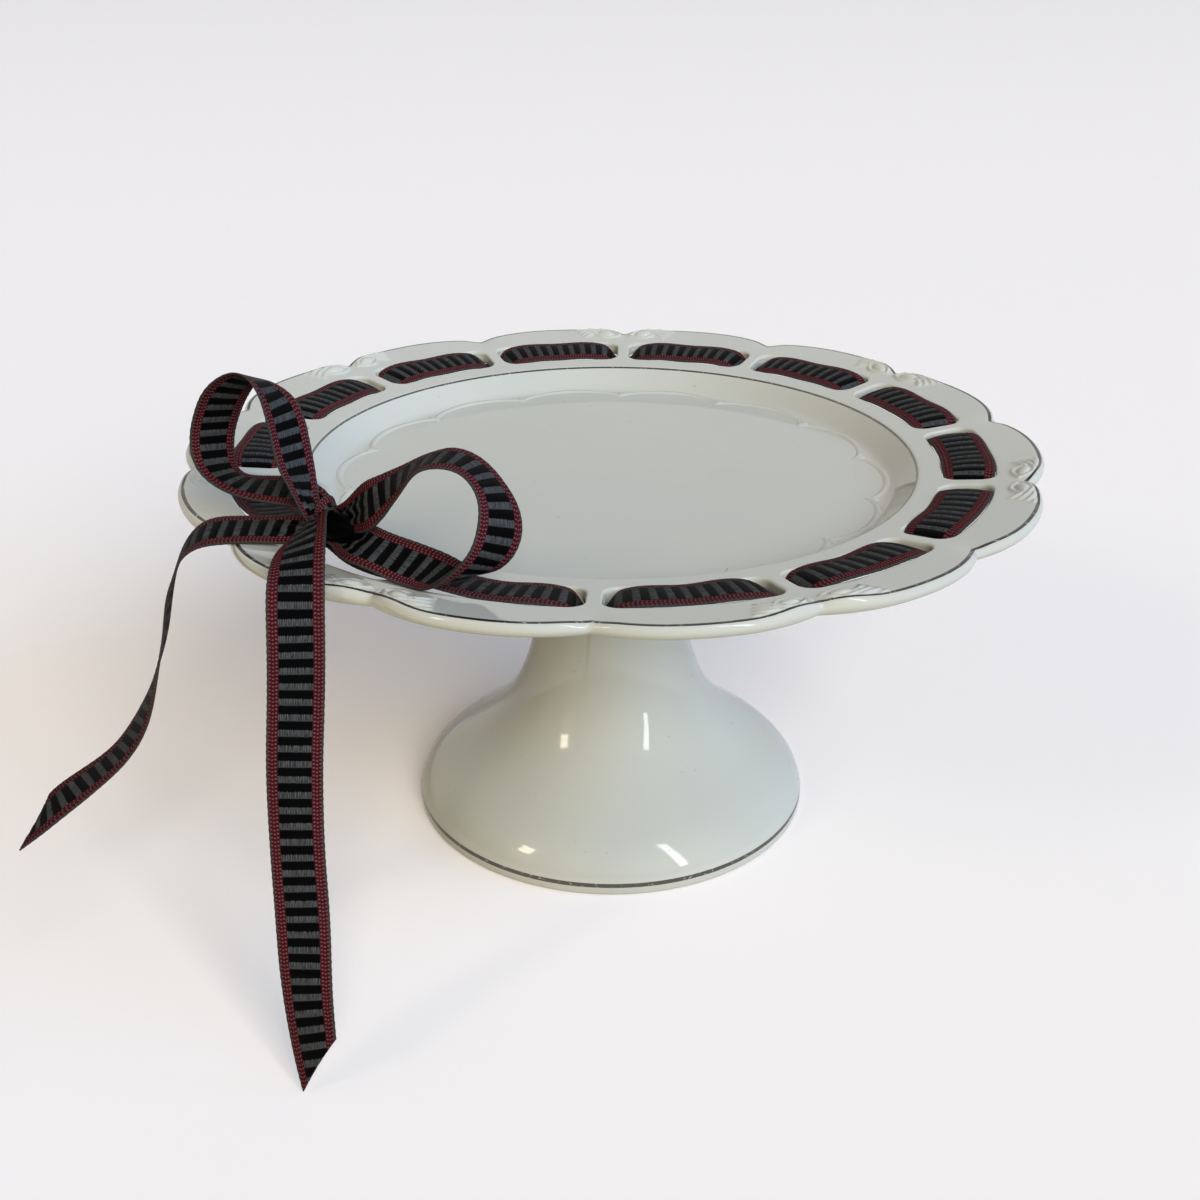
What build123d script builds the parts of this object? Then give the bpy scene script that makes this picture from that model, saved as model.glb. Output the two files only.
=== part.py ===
from build123d import *
from math import atan2, cos, degrees, hypot, radians, sin
import os

# A pierced porcelain cake stand dressed with a ribbon. Millimetres, +Z up.
# The origin is on the table, on the axis of the plate and the pedestal; the front is -Y.

# Plate
lobes = 14  # lobes round the edge, with one ribbon slot in each
notch_r = 144.0  # axis to the notch between two lobes
lobe_rise = 6.0  # how far the crown of a lobe stands beyond its notches
lobe_spring = 25.0  # degrees that a lobe turns outward as it leaves a notch
lip_height = 142.0  # table to the top of the lip
rim_drop = 5.0  # fall of the rim from the lip to the edge of the well
rim_t = 4.5  # wall of the rim
lip_round = 2.0
well_land = 8.0  # slots to the edge of the well
well_depth = 7.8  # edge of the well down to the floor
well_lean = 9.0  # how far the wall of the well leans inward
well_edge_round = 3.0
well_foot_round = 6.0
floor_t = 5.2

# Slots for the ribbon, and the bridges between them
slot_w = 17.5
slot_inset = 11.5  # notch circle to the outer edge of a slot
bridge_w = 5.0
slot_corner_r = 5.0
slot_lip_round = 0.9

# Pedestal
foot_r = 74.0
foot_band_h = 4.3  # upright band at the bottom of the foot
shoulder_r = 58.2
shoulder_z = 22.3
waist_r = 37.7
waist_z = 42.5
neck_r = 29.0
neck_z = 66.0
collar_r = 35.0
collar_h = 3.5
pedestal_wall = 4.5

# Slip seam between the two porcelain pieces
seam_w = 3.2  # across its top and down the collar
seam_hollow = 0.36  # part of seam_w left in the middle, where it was sponged hollow

# Ribbon
ribbon_t = 0.5
slot_clearance = 0.75  # each side of the ribbon in its slot
under_gap = 0.35  # ribbon to the underside of a bridge, and to the rim it lies on
bridge_gather = 13.5  # the ribbon's width where it bunches under a bridge
gathered_w = 11.0  # its width where it bunches into the knot
arch_rise = 0.8  # how far the ribbon stands above the rim in the middle of a slot
tail_slant = 42.0  # degrees, the slanting cut at the end of each tail

# Knot of the bow: where it sits, and its size along the slot, across it and upward
knot_lobe = 8.63  # lobes from the back notch, clockwise from above
knot_inset = 2.9  # middle of the slots to the middle of the knot
knot_size = (14.0, 15.0, 13.0)
knot_low = 2.6  # how far the knot reaches below the lip
knot_round = 4.2

# Worked out from the sizes above
lobe_angle = 360.0 / lobes
back_bearing = 90.0  # bearing of the first bridge, at the back
crown_r = notch_r + lobe_rise
slot_outer_r = notch_r - slot_inset
slot_mid_r = slot_outer_r - slot_w / 2
slot_inner_r = slot_outer_r - slot_w
well_r = slot_inner_r - well_land  # axis to the edge of the well
well_edge_z = lip_height - rim_drop
floor_z = well_edge_z - well_depth
under_z = floor_z - floor_t
rim_slope = rim_drop / (crown_r - well_r)
rim_tilt = atan2(rim_drop, crown_r - well_r)
ribbon_w = slot_w - 2 * slot_clearance
knot_r = slot_mid_r - knot_inset
knot_angle = back_bearing - knot_lobe * lobe_angle


def rim_top(r):
    """Height of the rim's upper surface at radius r."""
    return lip_height - rim_slope * (crown_r - r)


def polar(r, angle, z=0.0):
    """A point from its radius and its angle in degrees."""
    return Vector(r * cos(radians(angle)), r * sin(radians(angle)), z)


# ---- plate ----


def bends_near(face, r):
    """The two corners of the section, above and below, where the wall turns at radius r."""
    return [v for v in face.vertices() if abs(v.X - r) < rim_t and v.X > well_r - well_lean - 1]


def rim_section():
    """Cross-section of the rim and the wall of the well, in the XZ plane."""
    core_r = well_r - well_lean - well_foot_round
    outer_r = crown_r + lip_round
    corners = [
        (core_r, under_z),
        (well_r - well_lean + floor_t / 2, under_z),
        (well_r + rim_t / 2, well_edge_z - rim_t),
        (outer_r, rim_top(outer_r) - rim_t),
        (outer_r, rim_top(outer_r)),
        (well_r, well_edge_z),
        (well_r - well_lean, floor_z),
        (core_r, floor_z),
    ]
    face = make_face(Polyline(*corners, close=True))
    face = fillet(bends_near(face, well_r - well_lean), well_foot_round)
    face = fillet(bends_near(face, well_r), well_edge_round)
    return Plane.XZ * face


def lobe_outline():
    """One lobe seen from above: axis to notch, over the crown, to the next notch and back."""
    half = radians(lobe_angle / 2)
    spring = radians(lobe_spring)
    low_notch = (notch_r * cos(half), -notch_r * sin(half))
    high_notch = (notch_r * cos(half), notch_r * sin(half))
    rise = (sin(half + spring), cos(half + spring))
    edge = Spline(
        low_notch,
        (crown_r, 0),
        high_notch,
        tangents=[rise, (-rise[0], rise[1])],
    )
    return make_face([Line((0, 0), low_notch), edge, Line(high_notch, (0, 0))])


def slot_outline():
    """One slot seen from above: a bent bar with rounded corners, between two bridges."""
    half = radians(lobe_angle / 2)
    apex = bridge_w / 2 / sin(half)
    reach = 2 * crown_r
    wedge = make_face(
        Polyline(
            (apex, 0),
            (apex + reach * cos(half), -reach * sin(half)),
            (apex + reach * cos(half), reach * sin(half)),
            close=True,
        )
    )
    bar = (Circle(slot_outer_r) - Circle(slot_inner_r)) & wedge
    return fillet(bar.vertices(), slot_corner_r)


def rim_lobe():
    """One lobe of the rim with its slot, between two notches, centred on +X."""
    ring = revolve(rim_section(), axis=Axis.Z, revolution_arc=lobe_angle)
    ring = Rot(0, 0, -lobe_angle / 2) * ring
    lobe = ring & extrude(lobe_outline(), amount=2 * lip_height)
    wall = lobe.faces().sort_by(lambda f: hypot(f.center().X, f.center().Y))[-1]
    lips = wall.edges().filter_by(lambda e: e.length > notch_r * sin(radians(lobe_angle / 2)))
    lobe = fillet(lips, lip_round)
    lobe = lobe - extrude(slot_outline(), amount=2 * lip_height)
    inside = [
        e
        for e in lobe.edges()
        if slot_inner_r - 1 < hypot(e.center().X, e.center().Y) < slot_outer_r + 1
        and abs(degrees(atan2(e.center().Y, e.center().X))) < lobe_angle / 2 - 0.5
    ]
    top = [e for e in inside if e.center().Z > rim_top(hypot(e.center().X, e.center().Y)) - rim_t / 4]
    return fillet(top, slot_lip_round)


def plate():
    lobe = rim_lobe()
    core = Pos(0, 0, under_z) * extrude(
        Circle(well_r - well_lean - well_foot_round), amount=floor_t
    )
    first = back_bearing - lobe_angle / 2
    copies = [Rot(0, 0, first - k * lobe_angle) * lobe for k in range(lobes)]
    return core.fuse(*copies)


# ---- pedestal and slip seam ----


def pedestal():
    """Hollow bell, thrown as one wall, open at the foot and at the collar."""
    bell = Spline(
        (foot_r, foot_band_h),
        (shoulder_r, shoulder_z),
        (waist_r, waist_z),
        (neck_r, neck_z),
        (collar_r, under_z - collar_h),
        tangents=[(-0.2, 1), (0.7, 1)],
    )
    outline = make_face(
        [
            Line((0, 0), (foot_r, 0)),
            Line((foot_r, 0), (foot_r, foot_band_h)),
            bell,
            Line((collar_r, under_z - collar_h), (collar_r, under_z)),
            Line((collar_r, under_z), (0, under_z)),
            Line((0, under_z), (0, 0)),
        ]
    )
    solid = revolve(Plane.XZ * outline, axis=Axis.Z)
    ends = [solid.faces().sort_by(Axis.Z)[0], solid.faces().sort_by(Axis.Z)[-1]]
    return offset(solid, amount=-pedestal_wall, openings=ends)


def slip_seam():
    """Ring of slip round the collar, hollowed where it was sponged smooth."""
    corner = (collar_r, under_z)
    outside = (collar_r + seam_w, under_z)
    below = (collar_r, under_z - seam_w)
    middle = (collar_r + seam_w * seam_hollow, under_z - seam_w * seam_hollow)
    section = make_face(
        [Line(below, corner), Line(corner, outside), ThreePointArc(outside, middle, below)]
    )
    return revolve(Plane.XZ * section, axis=Axis.Z)


# ---- ribbon ----


def ribbon(stations, slant=0.0):
    """A ribbon through its stations: (middle, direction across, width) in order along it.

    The last end is cut at slant degrees, longer on the side that across points to.
    """
    sections = []
    last = len(stations) - 1
    for i, (middle, across, width) in enumerate(stations):
        before = stations[max(i - 1, 0)][0]
        after = stations[min(i + 1, last)][0]
        along = (after - before).normalized()
        across = (across - along * across.dot(along)).normalized()
        cut = radians(slant) if i == last else 0.0
        plane = Plane(
            origin=middle,
            x_dir=across * cos(cut) + along * sin(cut),
            z_dir=along * cos(cut) - across * sin(cut),
        )
        sections.append(plane * Rectangle(width / cos(cut), ribbon_t))
    return loft(sections)


def rim_station(angle, lift, width=ribbon_w):
    """A station over the middle of the slots, lifted from the rim's upper surface."""
    across = polar(cos(rim_tilt), angle, sin(rim_tilt))
    return polar(slot_mid_r, angle, rim_top(slot_mid_r) + lift), across, width


under_bridge = -rim_t - under_gap - ribbon_t / 2
over_bridge = under_gap + ribbon_t / 2
arc_mm = degrees(1 / slot_mid_r)  # degrees of turn for one millimetre along the slots


def climb(bridge_angle, way):
    """Stations from under a bridge up into the next slot; way is -1 clockwise, +1 back."""
    clear = bridge_w / 2 + 1.1
    steps = [
        (0.0, under_bridge, bridge_gather),
        (clear, under_bridge + 0.1, bridge_gather),
        (clear + 2.6, under_bridge * 0.66, (bridge_gather + ribbon_w) / 2),
        (clear + 5.6, under_bridge * 0.22, ribbon_w),
        (clear + 9.5, arch_rise, ribbon_w),
    ]
    return [rim_station(bridge_angle + way * s * arc_mm, lift, w) for s, lift, w in steps]


def woven_cell(k):
    """The ribbon from under bridge k, up through the slot and down under bridge k + 1."""
    start = back_bearing - k * lobe_angle
    middle = rim_station(start - lobe_angle / 2, arch_rise)
    return climb(start, -1) + [middle] + climb(start - lobe_angle, 1)[::-1]


def at_knot(along, out, up):
    """A point from its offsets from the knot: along the slots, outward and above the lip."""
    here = polar(knot_r, knot_angle, lip_height + up)
    return here + polar(out, knot_angle) + polar(along, knot_angle + 90)


def across_knot(along, out, up):
    """A direction in the knot's own axes."""
    return polar(out, knot_angle) + polar(along, knot_angle + 90) + Vector(0, 0, up)


def tied(rows):
    """Stations from rows of middle (along, out, up), direction across, and width."""
    return [(at_knot(*row[:3]), across_knot(*row[3:6]), row[6]) for row in rows]


def ribbon_weave():
    """The threaded ribbon, from the knot round through the slots and back to the knot."""
    last_bridge = 10
    first_bridge = 7
    cells = [k % lobes for k in range(last_bridge, first_bridge + lobes)]
    left = back_bearing - last_bridge * lobe_angle
    right = back_bearing - first_bridge * lobe_angle
    next_bridge = right - lobe_angle
    lift = over_bridge - (lip_height - rim_top(slot_mid_r))
    left_end = climb(left, 1) + [
        rim_station(left + lobe_angle * 0.6, arch_rise, ribbon_w),
        rim_station(left + lobe_angle - 5 * arc_mm, over_bridge + 0.5, ribbon_w),
        rim_station(left + lobe_angle + 5 * arc_mm, over_bridge + 0.5, ribbon_w - 3),
        (at_knot(-9, 1.5, lift + 0.7), across_knot(0, 1, 0.05), gathered_w),
        (at_knot(-3, 0.5, lift + 1.2), across_knot(0, 1, 0), gathered_w - 2),
    ]
    right_end = climb(right, -1) + [
        rim_station((right + next_bridge) / 2, arch_rise, ribbon_w),
        rim_station(next_bridge + 7 * arc_mm, over_bridge + 0.4, ribbon_w),
        rim_station(next_bridge - 1 * arc_mm, over_bridge + 0.1, ribbon_w),
        (at_knot(14, 1.0, lift + 0.5), across_knot(0, 1, 0.08), ribbon_w - 3),
        (at_knot(9, 0.8, lift + 0.8), across_knot(0, 1, 0.05), gathered_w),
        (at_knot(3, 0.5, lift + 1.2), across_knot(0, 1, 0), gathered_w - 2),
    ]
    runs = [ribbon(left_end), ribbon(right_end)] + [ribbon(woven_cell(k)) for k in cells]
    return runs[0].fuse(*runs[1:]) - bow_knot()


def bow_knot():
    """The wrapped knot, a soft block pulled tight over the empty slot."""
    length, depth, height = knot_size
    block = fillet(Box(length, depth, height).edges(), knot_round)
    middle = at_knot(0, 0, height / 2 - knot_low)
    facing = Plane(origin=middle, x_dir=across_knot(1, 0, 0), z_dir=(0, 0, 1))
    return facing * block


def bow_loop_left():
    """Loop standing on the rim behind the knot: up its inner strand and back underneath."""
    w = ribbon_w
    rows = [
        (-3, 2.5, 4, -0.3, -0.9, -0.1, gathered_w - 2),
        (-8.5, 2, 8.5, -0.4, -0.9, -0.2, gathered_w + 1),
        (-13, 1, 14, -0.35, -0.9, -0.2, w),
        (-17, 0.5, 24, -0.25, -1, -0.05, w),
        (-19.5, 0.5, 32.5, -0.3, -0.95, 0, w),
        (-24, 2, 40.3, -0.4, -0.9, -0.32, w),
        (-30, 4.5, 43.8, -0.4, -0.85, -0.42, w),
        (-36.5, 8, 39.4, -0.1, -0.95, -0.36, w),
        (-41.5, 10, 31, 0, -1, -0.25, w),
        (-43.7, 11.5, 22, -0.05, -1, -0.2, w),
        (-40, 12.5, 13.8, -0.2, -0.95, -0.2, w),
        (-33, 10.5, 10.6, -0.4, -0.85, -0.03, w),
        (-24, 4, 9.2, -0.45, -0.9, 0.15, w),
        (-15.5, -2.5, 7.3, -0.4, -0.9, 0.15, w - 2),
        (-9, -3.5, 4.2, -0.2, -1, 0, gathered_w),
        (-3, -3.5, 2, 0, -1, 0, gathered_w - 2),
    ]
    return ribbon(tied(rows)) - bow_knot()


def bow_loop_right():
    """Loop standing over the slots to the right, folded sharply back along the rim."""
    w = ribbon_w
    rows = [
        (7.2, 2.3, 9.2, -0.2, -0.3, 0.9, gathered_w),
        (11, 2.6, 10, -0.3, -0.3, 0.9, gathered_w + 0.5),
        (20, 3.9, 14.8, -0.5, -0.35, 0.8, w - 2),
        (26.3, 4, 18.8, -0.67, -0.42, 0.61, w - 0.5),
        (30.5, 1.8, 22.7, -0.72, -0.57, 0.39, w),
        (37.4, -3.1, 29.9, -0.62, -0.78, 0.09, w),
        (44.3, -7.2, 33.8, -0.48, -0.88, 0.03, w),
        (51.8, -10.8, 32.8, -0.37, -0.92, -0.09, w),
        (58.6, -12.1, 28.3, -0.23, -0.94, -0.25, w),
        (63.2, -11.4, 23.4, -0.07, -0.95, -0.31, w),
        (65.7, -9.1, 17.2, 0.07, -0.93, -0.36, w),
        (64.7, -6.4, 11.1, 0.01, -0.89, -0.43, w),
        (60.6, -3.6, 6, -0.07, -0.94, -0.34, w),
        (55.6, -2.2, 2.8, -0.03, -0.98, -0.1, w),
        (50, -1.7, 1.5, -0.03, -0.98, 0.17, w),
        (44.5, -1.4, 1.4, -0.1, -0.94, 0.32, w),
        (37, 0.4, 2.2, -0.22, -0.9, 0.38, w),
        (29.5, 3.6, 4.2, -0.4, -0.86, 0.34, w),
        (22, 5.4, 5.2, -0.4, -0.87, 0.35, w - 1),
        (12, 3, 4.2, -0.2, -0.93, 0.3, gathered_w + 1),
        (7.3, 2.8, 4.1, -0.1, -0.95, 0.3, gathered_w),
    ]
    return ribbon(tied(rows))


def fall(part):
    """Height above the lip of a point that has come down this part of the way to the table."""
    return -lip_height * part


def bow_tail_left():
    """Tail over the rim at the left: it hangs edge to the front, then kicks outward."""
    w = ribbon_w
    rows = [
        (-3, 3, 1.8, 0.3, 0.9, -0.15, gathered_w - 2),
        (-8, 6.8, 1.3, 0.6, 0.8, -0.3, gathered_w + 1.5),
        (-15.5, 13, 1.1, 0.7, 0.7, -0.16, w),
        (-23, 20.5, 0.9, 0.65, 0.75, -0.16, w),
        (-29.9, 26.9, -0.8, 0.68, 0.72, -0.18, w),
        (-33.9, 30.6, -5.2, 0.75, 0.66, -0.08, w),
        (-36.1, 32.9, fall(0.08), 0.8, 0.55, 0.16, w),
        (-36.6, 35.9, fall(0.131), 0.77, 0.53, 0.36, w),
        (-35.8, 39.4, fall(0.204), 0.76, 0.51, 0.4, w),
        (-34, 43.6, fall(0.266), 0.8, 0.44, 0.4, w),
        (-32.5, 47.9, fall(0.322), 0.86, 0.37, 0.36, w),
        (-31.5, 54.4, fall(0.39), 0.93, 0.25, 0.27, w),
        (-31.5, 63.1, fall(0.446), 0.96, 0.21, 0.18, w),
        (-33.2, 73.5, fall(0.485), 0.98, 0.2, 0.04, w),
        (-35.2, 83.6, fall(0.522), 0.94, 0.33, -0.07, w),
        (-38.4, 89, fall(0.559), 0.87, 0.5, -0.05, w),
    ]
    return ribbon(tied(rows), slant=tail_slant) - bow_knot()


def bow_tail_front():
    """Tail over the front of the rim: straight down, sweeping forward to the table."""
    w = ribbon_w
    rows = [
        (1, 2, 6, 0.6, -0.4, 0.6, gathered_w - 2),
        (5, 9.5, 8.6, 0.55, -0.45, 0.6, gathered_w + 1),
        (14, 20, 9, 0.55, -0.65, 0.45, w),
        (22.5, 28, 6.8, 0.6, -0.75, 0.22, w),
        (28.5, 33.5, 0.8, 0.6, -0.8, 0.02, w),
        (31.3, 36.5, fall(0.075), 0.56, -0.83, -0.06, w),
        (32, 39, fall(0.21), 0.58, -0.82, -0.08, w),
        (33, 42, fall(0.34), 0.64, -0.77, -0.02, w),
        (36.5, 46, fall(0.5), 0.72, -0.69, 0.12, w),
        (41.5, 50, fall(0.665), 0.71, -0.69, 0.2, w),
        (48, 54.9, fall(0.825), 0.76, -0.5, 0.28, w),
        (57.2, 59.8, fall(0.931), 0.85, -0.24, 0.26, w),
    ]
    return ribbon(tied(rows), slant=-tail_slant) - bow_knot()


os.makedirs("parts", exist_ok=True)
pieces = {
    "plate": plate(),
    "pedestal": pedestal(),
    "slip_seam": slip_seam(),
    "ribbon_weave": ribbon_weave(),
    "bow_knot": bow_knot(),
    "bow_loop_left": bow_loop_left(),
    "bow_loop_right": bow_loop_right(),
    "bow_tail_left": bow_tail_left(),
    "bow_tail_front": bow_tail_front(),
}
for name, piece in pieces.items():
    export_step(piece, f"parts/{name}.step")
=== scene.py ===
import math

import bmesh
import bpy
import numpy as np
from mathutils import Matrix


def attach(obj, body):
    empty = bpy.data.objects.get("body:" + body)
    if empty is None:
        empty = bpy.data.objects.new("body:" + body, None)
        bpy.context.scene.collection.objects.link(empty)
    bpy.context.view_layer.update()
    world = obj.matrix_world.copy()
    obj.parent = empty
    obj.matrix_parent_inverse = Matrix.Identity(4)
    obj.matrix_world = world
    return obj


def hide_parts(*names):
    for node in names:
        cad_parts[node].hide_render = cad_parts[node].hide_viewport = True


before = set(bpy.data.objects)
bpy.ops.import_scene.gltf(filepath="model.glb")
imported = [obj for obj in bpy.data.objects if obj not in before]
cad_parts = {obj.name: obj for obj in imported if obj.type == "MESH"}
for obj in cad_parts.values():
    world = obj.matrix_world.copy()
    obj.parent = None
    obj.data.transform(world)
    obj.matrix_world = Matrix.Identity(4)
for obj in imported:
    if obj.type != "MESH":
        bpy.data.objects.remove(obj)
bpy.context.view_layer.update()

scene = bpy.context.scene
mm = 0.001

# Everything here is a cake stand in metres, origin on the table under the plate, front at -Y.

plateShape = {
    "lobes": 14,
    "notchRadius": 0.144,
    "lobeRise": 0.006,
    "lobeFullness": 2.45,     # power of the curve that a lobe's edge follows
    "lipHeight": 0.142,
    "rimDrop": 0.005,
    "rimThickness": 0.0045,
    "lipRound": 0.002,
    "wellRadius": 0.107,
    "wellDepth": 0.0078,
    "wellLean": 0.009,
    "wellEdgeRound": 0.0028,
    "wellFootRound": 0.006,
    "underEdgeRound": 0.00028,
    "floorGap": 0.006,        # between rings of points over the floor and below it
    "underGap": 0.009,
    "floorThickness": 0.0052,
    "slotOuter": 0.1325,
    "slotWidth": 0.0175,
    "slotCorner": 0.005,
    "slotLip": 0.0009,
    "slotUnderLip": 0.000405,
    "bridgeWidth": 0.005,
    "jointRadius": 0.110,     # where the rim's grid meets the well's grid
}

lobeAngle = 2 * math.pi / plateShape["lobes"]
halfLobe = lobeAngle / 2
crownRadius = plateShape["notchRadius"] + plateShape["lobeRise"]
rimSlope = plateShape["rimDrop"] / (crownRadius - plateShape["wellRadius"])
wellEdgeHeight = plateShape["lipHeight"] - plateShape["rimDrop"]
floorHeight = wellEdgeHeight - plateShape["wellDepth"]
underHeight = floorHeight - plateShape["floorThickness"]
slotMid = plateShape["slotOuter"] - plateShape["slotWidth"] / 2


def unit(v):
    # a direction divided by its own length
    return v / np.maximum(np.linalg.norm(v, axis=-1, keepdims=True), 1e-12)


def smoothStep(x, low, high):
    # 0 below low, 1 above high, and 3t^2 - 2t^3 between
    t = np.clip((x - low) / (high - low), 0, 1)
    return t * t * (3 - 2 * t)


def gridFaces(rows, cols, wrapRows=False, wrapCols=False):
    # each quad joins four neighbouring points of a grid; a wrapped side joins its last line to its first
    r = np.arange(rows if wrapRows else rows - 1)[:, None]
    c = np.arange(cols if wrapCols else cols - 1)[None, :]
    nextR, nextC = (r + 1) % rows, (c + 1) % cols
    quads = np.stack([r * cols + c, nextR * cols + c, nextR * cols + nextC, r * cols + nextC], -1)
    return quads.reshape(-1, 4)


def skinFaces(rows, cols, ring=False):
    # the tube of an upper and a lower face, with a cap of quads between them at each end unless it closes in a ring
    tube = gridFaces(rows, cols, ring, True)
    j = np.arange(cols // 2 - 1)
    first = np.stack([j, j + 1, cols - 2 - j, cols - 1 - j], -1)
    return tube if ring else np.concatenate([tube, first, (first + (rows - 1) * cols)[:, ::-1]])


def slab(upper, depth, ring=False):
    # a sheet of points and the same sheet let down by its depth, wound on as one closed skin, and the skin's faces
    skin = np.concatenate([upper, (upper - np.array([0, 0, depth]))[:, ::-1]], 1)
    return skin, skinFaces(*skin.shape[:2], ring)


def turned(r, angle, z):
    # points from radius, angle and height: the radius times the angle's cosine and sine, and the height
    r, angle, z = np.broadcast_arrays(r, angle, z)
    return np.stack([r * np.cos(angle), r * np.sin(angle), z], -1)


def fullTurn(count):
    # evenly spaced angles once round
    return np.linspace(0, 2 * math.pi, count, endpoint=False)


def joined(blocks):
    # one set of points and faces out of several: each block's faces count on from the points before it
    points, faces, offset = [], [], 0
    for grid, quads in blocks:
        points.append(grid.reshape(-1, 3))
        faces.append(quads + offset)
        offset += len(points[-1])
    return np.concatenate(points), np.concatenate(faces)


def meshPiece(name, points, faces, uv=None, lipWay=None, weld=0.0, closed=True):
    # points and faces into one smooth mesh; points closer than weld become one, a closed skin's faces turn outward,
    # uv and the way round the lip ride on the points
    mesh = bpy.data.meshes.new(name)
    mesh.from_pydata(points.reshape(-1, 3).tolist(), [], faces.tolist())
    if lipWay is not None:
        mesh.attributes.new("lipWay", "FLOAT", "POINT").data.foreach_set("value", lipWay.astype(np.float32))
    if uv is not None:
        corner = np.zeros(len(mesh.loops), np.int32)
        mesh.loops.foreach_get("vertex_index", corner)
        layer = mesh.uv_layers.new(name="cloth")
        layer.data.foreach_set("uv", uv.reshape(-1, 2)[corner].astype(np.float32).ravel())
    work = bmesh.new()
    work.from_mesh(mesh)
    if weld:
        bmesh.ops.remove_doubles(work, verts=work.verts, dist=weld)
    if closed:
        bmesh.ops.recalc_face_normals(work, faces=work.faces)
    work.to_mesh(mesh)
    work.free()
    mesh.shade_smooth()
    piece = bpy.data.objects.new(name, mesh)
    scene.collection.objects.link(piece)
    return piece


def splineThrough(knots, startDir=None, endDir=None, measured=3):
    # cubic spline through the knots: piecewise cubics whose slope and bend agree where they meet, with the
    # running chord length of the first columns as parameter; an end without a given direction runs out straight
    knots = np.asarray(knots, float)
    step = np.linalg.norm(np.diff(knots[:, :measured], axis=0), axis=1)
    at = np.concatenate([[0], np.cumsum(step)])
    count = len(knots)
    slope = np.diff(knots, axis=0) / step[:, None]
    matrix, right = np.zeros((count, count)), np.zeros_like(knots)
    i = np.arange(1, count - 1)
    matrix[i, i - 1], matrix[i, i], matrix[i, i + 1] = step[:-1], 2 * (step[:-1] + step[1:]), step[1:]
    right[1:-1] = 6 * (slope[1:] - slope[:-1])
    matrix[0, 0] = matrix[-1, -1] = 1
    if startDir is not None:
        matrix[0, :2] = 2 * step[0], step[0]
        right[0] = 6 * (slope[0] - np.asarray(startDir, float))
    if endDir is not None:
        matrix[-1, -2:] = step[-1], 2 * step[-1]
        right[-1] = 6 * (np.asarray(endDir, float) - slope[-1])
    bend = np.linalg.solve(matrix, right)

    def along(s):
        k = np.clip(np.searchsorted(at, s, side="right") - 1, 0, count - 2)
        a = ((at[k + 1] - s) / step[k])[..., None]
        b = 1 - a
        cubic = ((a**3 - a) * bend[k] + (b**3 - b) * bend[k + 1]) * (step[k] ** 2)[..., None] / 6
        return a * knots[k] + b * knots[k + 1] + cubic

    return along, at[-1]


def roundedPath(corners, radii, arcPoints=7):
    # a path of straight runs whose inner corners are turned by arcs of the given radii
    path = [np.array(corners[0], float)[None]]
    for before, corner, after, radius in zip(corners[:-2], corners[1:-1], corners[2:], radii):
        corner = np.array(corner, float)
        back, ahead = unit(np.array(before) - corner), unit(np.array(after) - corner)
        half = math.acos(np.clip(back @ ahead, -1, 1)) / 2
        centre = corner + unit(back + ahead) * radius / math.sin(half)
        start = corner + back * radius / math.tan(half) - centre
        end = corner + ahead * radius / math.tan(half) - centre
        share = np.linspace(0, 1, arcPoints)[:, None]
        path.append(centre + unit(start * (1 - share) + end * share) * radius)
    path.append(np.array(corners[-1], float)[None])
    return np.concatenate(path)


def spacedAlong(path, gap):
    # the same path with its straight runs divided so that no two points lie further apart than gap
    step = np.linalg.norm(np.diff(path, axis=0), axis=1)
    share = [np.arange(max(int(np.ceil(d / gap)), 1)) / max(int(np.ceil(d / gap)), 1) for d in step]
    index = np.concatenate([i + s for i, s in enumerate(share)] + [[len(step)]])
    return np.stack([np.interp(index, np.arange(len(path)), path[:, c]) for c in range(path.shape[1])], 1)


def edgeRadius(angle):
    # a lobe's edge: notch radius plus the rise times one less the power of the distance from the lobe's middle
    s = plateShape
    across = (angle % lobeAngle) / halfLobe - 1
    return s["notchRadius"] + s["lobeRise"] * (1 - np.abs(across) ** s["lobeFullness"])


def fromNotch(r, angle):
    # tangential and radial distance from the nearest notch, and 1 where that notch carries shells, else 0
    turn = (math.pi / 2 - angle) / lobeAngle
    k = np.round(turn)
    away = (turn - k) * lobeAngle
    return r * np.sin(away), r * np.cos(away) - plateShape["notchRadius"], (k % 2 == 0).astype(float)


def coneHeight(r):
    # the plain rim: a cone that falls inward from the lobes' crowns
    return plateShape["lipHeight"] - rimSlope * (crownRadius - r)


# swells near a notch: middle and reach along the edge, middle and reach outward, and height
rimSwell = {
    "mound": (0.0085, 0.0075, 0.0005, 0.0045, 0.0010),    # under the shells at every other notch
    "crease": (0.0, 0.0022, 0.0020, 0.0045, 0.0007),      # between two shells
    "valley": (0.0, 0.0045, -0.0005, 0.0055, 0.0007),     # at the plain notches
}


def swell(side, out, name):
    # the height times e to the minus squared distance from the swell's middle, over its reach, in both directions
    sideMid, sideReach, outMid, outReach, height = rimSwell[name]
    return height * np.exp(-(((np.abs(side) - sideMid) / sideReach) ** 2) - ((out - outMid) / outReach) ** 2)


def rimHeight(r, angle):
    # the rim's upper surface: a gentle cone, with a soft swell at the shells and a dip at the plain notches
    side, out, shell = fromNotch(r, angle)
    relief = shell * (swell(side, out, "mound") - swell(side, out, "crease")) - (1 - shell) * swell(side, out, "valley")
    return coneHeight(r) + relief


lobeGrid = {
    "longSide": 46,
    "shortSide": 18,
    "topRings": 13,
    "ringCrowding": 1.25,     # power that draws the rings towards the slot
    "roundRings": 6,
    "wallShares": (0.33, 0.66, 1.0),
    "underRoundRings": 4,
    "underRings": 5,
    "lipSteps": 15,
}


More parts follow.
